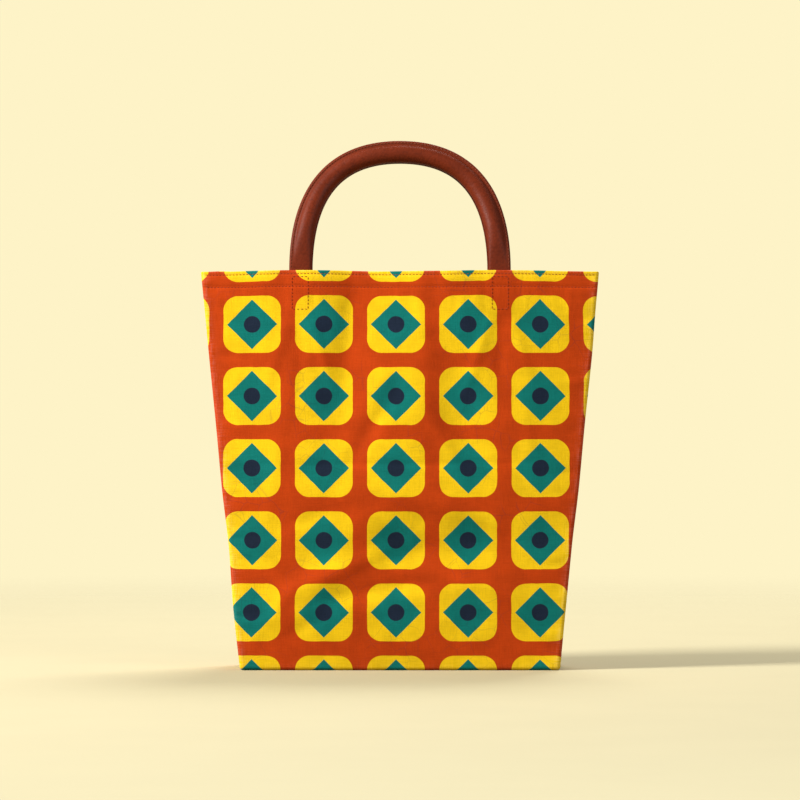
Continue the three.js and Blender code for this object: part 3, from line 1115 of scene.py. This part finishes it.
def wax_cracks(finish, cloth, dye):
    """Fine cracks in the wax, where dye seeped in: edges of bent cells, in some patches only."""
    bend = finish.noise(cloth, CRACK_BEND_PATCH, output="Color")
    bent = finish.vector("MULTIPLY_ADD", bend, (CRACK_BEND, CRACK_BEND, 0.0), cloth)
    crack = finish.band(finish.cells(bent, dye.crackle, "DISTANCE_TO_EDGE"), WAX_CRACK)
    patch = finish.band(finish.noise(cloth, CRACKED_PATCH, detail=1.0), CRACKED_WAX)
    return finish.math("MULTIPLY", crack, patch)


def slubs(finish, cloth, dye):
    """Uneven threads of a plain weave: noise drawn out across the cloth, plus noise drawn out up it."""
    stretches = (SLUB_STRETCH, 1.0, 1.0), (1.0, SLUB_STRETCH, 1.0)
    across, up = (finish.noise(finish.vector("MULTIPLY", cloth, way), dye.slub) for way in stretches)
    return finish.math("ADD", across, up)


def weave(finish, cloth, dye):
    """The threads' crossings: the product of a sine wave across the cloth and one up it."""
    turns = 2 * np.pi / dye.weave
    parts = finish.node("ShaderNodeSeparateXYZ", {0: finish.vector("MULTIPLY", cloth, (turns, turns, 0.0))})
    return finish.math("MULTIPLY", *(finish.math("SINE", parts.outputs[k]) for k in (0, 1)))


def printed_cotton(dye):
    """Wax-printed cotton: motifs with unsteady edges, uneven dye, cracks in the wax and a plain weave.

    The reverse side is paler, and the edges are a little rubbed.
    """
    finish = Finish(bpy.data.materials.new(COTTON))
    cloth = finish.node("ShaderNodeUVMap", uv_map="cloth").outputs["UV"]
    drift = finish.noise(cloth, WANDER_PATCH, detail=1.0, output="Color")
    wander, back = dye.wander, -dye.wander / 2
    shift = finish.vector("MULTIPLY_ADD", drift, (wander, wander, 0.0), (back, back, 0.0))
    tone = motifs(finish, finish.vector("ADD", cloth, shift), dye)
    slub = slubs(finish, cloth, dye)
    mottle = finish.band(finish.noise(cloth, DYE_PATCH, detail=4.0), DYE_MOTTLE)
    tone = finish.tinted(tone, Value=finish.math("MULTIPLY", mottle, finish.band(slub, THREAD_STREAK)))
    tone = finish.mix(wax_cracks(finish, cloth, dye), tone, dye.disc_tone)
    tone = finish.mix(finish.value("reverse"), tone, finish.tinted(tone, **REVERSE_FADE))
    rub = finish.math("MULTIPLY", finish.value("wear"), finish.band(slub, RUBBED_THREADS))
    tone = finish.mix(rub, tone, finish.tinted(tone, **RUBBED_FADE))
    woven = finish.bump(weave(finish, cloth, dye), *WEAVE_BUMP)
    return finish.surface(
        {
            "Base Color": tone,
            "Roughness": finish.band(slub, CLOTH_ROUGHNESS),
            "Normal": finish.bump(slub, *SLUB_BUMP, Normal=woven),
            "Specular IOR Level": 0.06,
            "Sheen Weight": 0.03,
            "Sheen Roughness": 0.5,
        }
    )


def strap_leather(handle):
    """Brown leather: pebbled grain, faint clouds in the dye, and polish where hands hold the grip."""
    finish = Finish(bpy.data.materials.new("strap_leather"))
    place = finish.place()
    cloud = finish.band(finish.noise(place, CLOUD_PATCH, detail=4.0), LEATHER_CLOUD)
    pebbles = finish.cells(place, handle.grain, "SMOOTH_F1")
    pores = finish.noise(place, handle.pore, detail=3.0)
    tone = finish.mix(cloud, shaded(handle.tone, CLOUD_DARK), shaded(handle.tone, CLOUD_LIGHT))
    tone = finish.mix(finish.band(pebbles, GRAIN_VALLEY), tone, shaded(handle.tone, VALLEY_DARK))
    tone = finish.mix(finish.band(pores, PALE_PORE), tone, shaded(handle.tone, PORE_LIGHT))
    polish = finish.math("MULTIPLY", finish.value("held"), GRIP_POLISH)
    pebbled = finish.bump(finish.math("SUBTRACT", 1.0, pebbles), *GRAIN_BUMP)
    return finish.surface(
        {
            "Base Color": tone,
            "Roughness": finish.math("SUBTRACT", finish.band(pores, LEATHER_ROUGHNESS), polish),
            "Normal": finish.bump(pores, *PORE_BUMP, Normal=pebbled),
            "Specular IOR Level": 0.14,
            "Coat Weight": 0.03,
            "Coat Roughness": 0.4,
        }
    )


def sewing_thread(name, tone):
    """Twisted thread: fine uneven colour, and a fibrous bump."""
    finish = Finish(bpy.data.materials.new(name))
    fibre = finish.noise(finish.place(), FIBRE_PATCH)
    light = finish.band(fibre, FIBRE_SHADE)
    return finish.surface(
        {
            "Base Color": finish.mix(light, shaded(tone, THREAD_DARK), tone),
            "Roughness": finish.band(fibre, FIBRE_ROUGHNESS),
            "Normal": finish.bump(fibre, *FIBRE_BUMP),
            "Specular IOR Level": 0.2,
            "Sheen Weight": 0.1,
        }
    )


class TOTE_OT_panels(Operator):
    """Sew the front and the back panel: bowed cloth with turned edges and a hem at the mouth"""

    bl_idname = "tote.panels"
    bl_label = "Front and back panel"

    def execute(self, context):
        scene = context.scene
        body, handle, dye = scene.tote_body, scene.tote_handle, scene.tote_print
        for half, start_x in zip(HALVES, (dye.start_x, dye.back_x)):
            piece = new_wall(f"{half.panel}_panel", half, panel_wall(body, handle, half), start_x)
        return {"FINISHED"}


class TOTE_OT_gussets(Operator):
    """Sew the two side gussets, folded inwards towards the mouth"""

    bl_idname = "tote.gussets"
    bl_label = "Side gussets"

    def execute(self, context):
        body = context.scene.tote_body
        for half in HALVES:
            piece = new_wall(f"{half.gusset}_gusset", half, gusset_wall(body, half), 0.0)
        return {"FINISHED"}


class TOTE_OT_base(Operator):
    """Sew the flat base that the bag stands on"""

    bl_idname = "tote.base"
    bl_label = "Base"

    def execute(self, context):
        body = context.scene.tote_body
        sewn = closed_cloth(base_wall(body), body.cloth / 2, body.cloth / 2, (0.0, 0.0))
        piece = new_cloth("base_cloth", "base_panel", HALVES[0], sewn)
        return {"FINISHED"}


class TOTE_OT_handles(Operator):
    """Make the two padded leather handles"""

    bl_idname = "tote.handles"
    bl_label = "Handles"

    def execute(self, context):
        scene = context.scene
        handle = scene.tote_handle
        leather = strap_leather(handle)
        points, faces, held = strap_solid(scene.tote_body, handle)
        for half in HALVES:
            piece = new_piece(f"{half.panel}_handle_leather", placed(half, points), faces, leather)
            set_values(piece, "held", held)
            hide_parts(f"{half.panel}_handle")
        return {"FINISHED"}


class TOTE_OT_stitching(Operator):
    """Sew the visible stitches: the hem's two rows, the boxes that hold the tabs, and the handles' seams"""

    bl_idname = "tote.stitching"
    bl_label = "Stitching"

    def execute(self, context):
        scene = context.scene
        body, handle = scene.tote_body, scene.tote_handle
        cloth_thread = sewing_thread("cloth_thread", scene.tote_print.thread)
        strap_thread = sewing_thread("strap_thread", handle.thread)
        new_piece("hem_stitching", *joined(hem_stitches(body, handle)), cloth_thread)
        new_piece("tab_stitching", *joined(tab_stitches(body, handle)), cloth_thread)
        new_piece("handle_stitching", *joined(handle_stitches(body, handle)), strap_thread)
        return {"FINISHED"}


# A square soft light: its place, the point that it faces, its size, its power in watts and its colour
SoftLight = namedtuple("SoftLight", "name place aim size power tone")
LIGHTS = (
    SoftLight("key", (-3.85, -1.9, 2.85), (0.0, 0.0, 0.22), 1.25, 405.0, (1.0, 0.97, 0.93)),
    SoftLight("fill", (2.4, -2.8, 1.2), (0.0, 0.0, 0.22), 2.0, 40.0, (0.96, 0.98, 1.0)),
    SoftLight("back", (0.5, 1.7, 2.7), (0.0, 0.0, 0.3), 1.4, 80.0, (1.0, 0.98, 0.95)),
)


def add_light(soft):
    """A square soft light that faces a point."""
    lamp = bpy.data.lights.new(soft.name, "AREA")
    lamp.size = soft.size
    lamp.energy = soft.power
    lamp.color = soft.tone
    light = new_object(soft.name, lamp)
    light.location = soft.place
    light.rotation_euler = (Vector(soft.aim) - Vector(soft.place)).to_track_quat("-Z", "Y").to_euler()


def pale_floor(stage):
    """Cream floor, faintly uneven, that fades out into the background and throws little light back."""
    finish = Finish(bpy.data.materials.new("pale_floor"))
    place = finish.place()
    fade = Carry(stage.floor_radius * stage.floor_clear, stage.floor_radius * stage.floor_gone, 1.0, 0.0)
    dust = finish.band(finish.noise(place, DUST_PATCH, detail=3.0), FLOOR_DUST)
    seen = finish.tinted(shaded(stage.backdrop, stage.floor_tone), Value=dust)
    tone = finish.mix(finish.by_camera(), shaded(stage.backdrop, stage.floor_bounce), seen)
    alpha = finish.band(finish.vector("LENGTH", place), fade)
    return finish.surface({"Base Color": tone, "Roughness": 0.9, "Specular IOR Level": 0.1, "Alpha": alpha})


def floor_disc(stage):
    """A flat round floor: rings of points whose radius grows faster outwards, around one middle face."""
    radius = stage.floor_radius * np.linspace(0.0, 1.0, FLOOR_RINGS + 1)[1:, None] ** FLOOR_SPACING
    turn = around(FLOOR_SIDES)
    points = together(radius * np.cos(turn), radius * np.sin(turn), 0.0)
    rings = numbered(FLOOR_RINGS, FLOOR_SIDES)
    faces = ring_quads(rings).tolist() + [rings[0].tolist()]
    return new_mesh("floor", points.reshape(-1, 3), faces, pale_floor(stage))


def backdrop(stage):
    """A world with an even background: cream where it is seen, and a soft neutral light otherwise."""
    finish = Finish(bpy.data.worlds.new("backdrop"))
    daylight = {"Color": stage.daylight, "Strength": stage.daylight_strength}
    light = finish.node("ShaderNodeBackground", daylight).outputs[0]
    seen = finish.node("ShaderNodeBackground", {"Color": stage.backdrop}).outputs[0]
    chosen = finish.node("ShaderNodeMixShader", {0: finish.by_camera(), 1: light, 2: seen})
    finish.node("ShaderNodeOutputWorld", {"Surface": chosen.outputs[0]})
    return finish.holder


class TOTE_OT_stage(Operator):
    """Set the plain floor, the soft light and the camera"""

    bl_idname = "tote.stage"
    bl_label = "Stage"

    def execute(self, context):
        scene = context.scene
        stage = scene.tote_stage
        floor_disc(stage)
        scene.world = backdrop(stage)
        for soft in LIGHTS:
            add_light(soft)
        camera = new_object("camera", bpy.data.cameras.new("camera"))
        camera.data.lens = stage.lens
        away = stage.field * stage.lens / camera.data.sensor_width
        camera.location = (0.0, PANEL_LOW.y - away, stage.view_height)
        camera.rotation_euler = (np.pi / 2, 0.0, 0.0)
        scene.camera = camera
        scene.view_settings.view_transform = "Standard"
        return {"FINISHED"}


class TOTE_PT_sidebar(Panel):
    """Lists the bag's pieces, and the sizes and colours that they are made with"""

    bl_label = "Tote bag"
    bl_space_type = "VIEW_3D"
    bl_region_type = "UI"
    bl_category = "Tote bag"

    def draw(self, context):
        for operator in OPERATORS:
            self.layout.operator(operator.bl_idname)
        for name, group in SETTINGS.items():
            for setting in group.__annotations__:
                self.layout.prop(getattr(context.scene, name), setting)


SETTINGS = {
    "tote_body": ToteBody,
    "tote_print": TotePrint,
    "tote_handle": ToteHandle,
    "tote_stage": ToteStage,
}
OPERATORS = (
    TOTE_OT_panels,
    TOTE_OT_gussets,
    TOTE_OT_base,
    TOTE_OT_handles,
    TOTE_OT_stitching,
    TOTE_OT_stage,
)


def register():
    for name, group in SETTINGS.items():
        bpy.utils.register_class(group)
        setattr(bpy.types.Scene, name, PointerProperty(type=group))
    for kind in (*OPERATORS, TOTE_PT_sidebar):
        bpy.utils.register_class(kind)


def unregister():
    for kind in (TOTE_PT_sidebar, *reversed(OPERATORS)):
        bpy.utils.unregister_class(kind)
    for name, group in reversed(SETTINGS.items()):
        delattr(bpy.types.Scene, name)
        bpy.utils.unregister_class(group)


def main():
    register()
    bpy.ops.tote.panels()
    bpy.ops.tote.gussets()
    bpy.ops.tote.base()
    bpy.ops.tote.handles()
    bpy.ops.tote.stitching()
    bpy.ops.tote.stage()


if __name__ == "__main__":
    main()
